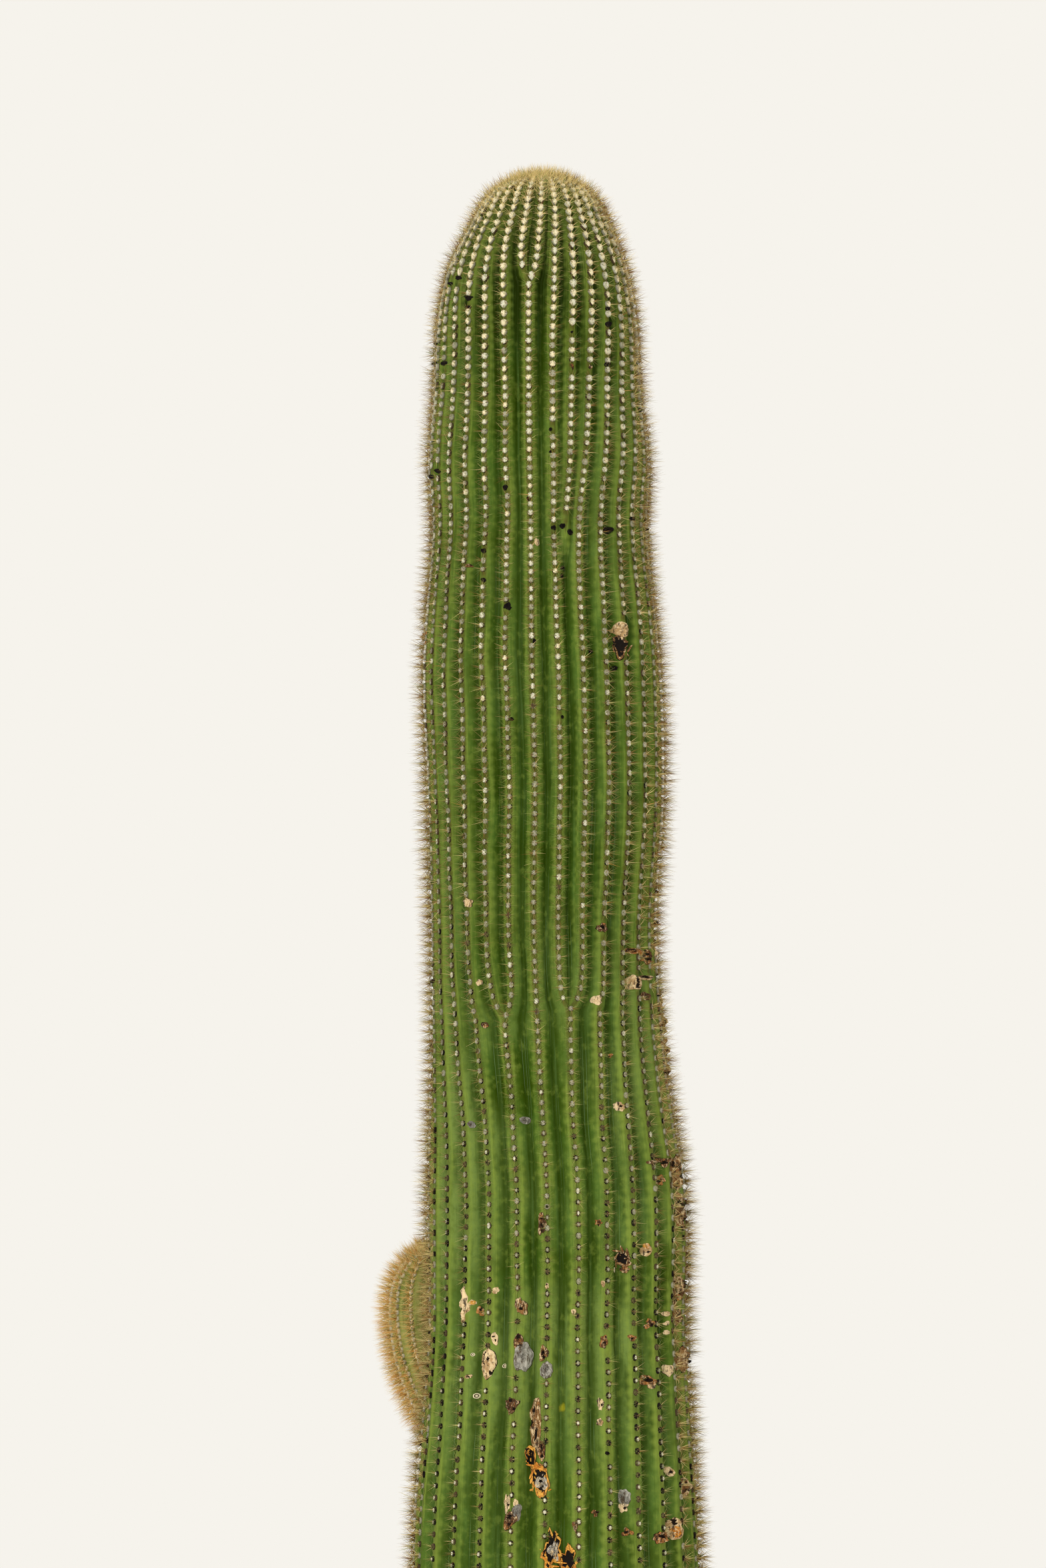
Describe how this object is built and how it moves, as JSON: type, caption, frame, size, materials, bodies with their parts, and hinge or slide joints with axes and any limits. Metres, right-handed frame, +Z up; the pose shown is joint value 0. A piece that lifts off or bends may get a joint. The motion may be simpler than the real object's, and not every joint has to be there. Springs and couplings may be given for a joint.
{
  "type": "saguaro cactus",
  "caption": "Ribbed columnar cactus trunk rooted in the ground, its ribs forking on the way up, with a young egg-shaped arm low behind its left side and mats of spines on the tips.",
  "frame": {"origin": "middle of the flat cut under the trunk, at ground level", "axes": "+Z up along the trunk, -Y towards the side seen, +X to that side's right; the arm points away to the back left"},
  "size_m": [0.6623, 0.7392, 4.635],
  "materials": {
    "trunk_skin": "waxy green skin",
    "straw_spines": "dry straw-coloured spines",
    "arm_skin": "waxy yellow-green skin",
    "golden_spines": "dry golden spines"
  },
  "bodies": {
    "root": {"trunk": "trunk_skin", "trunk_crown_spines": "straw_spines", "arm": "arm_skin", "arm_crown_spines": "golden_spines"}
  },
  "joints": []
}
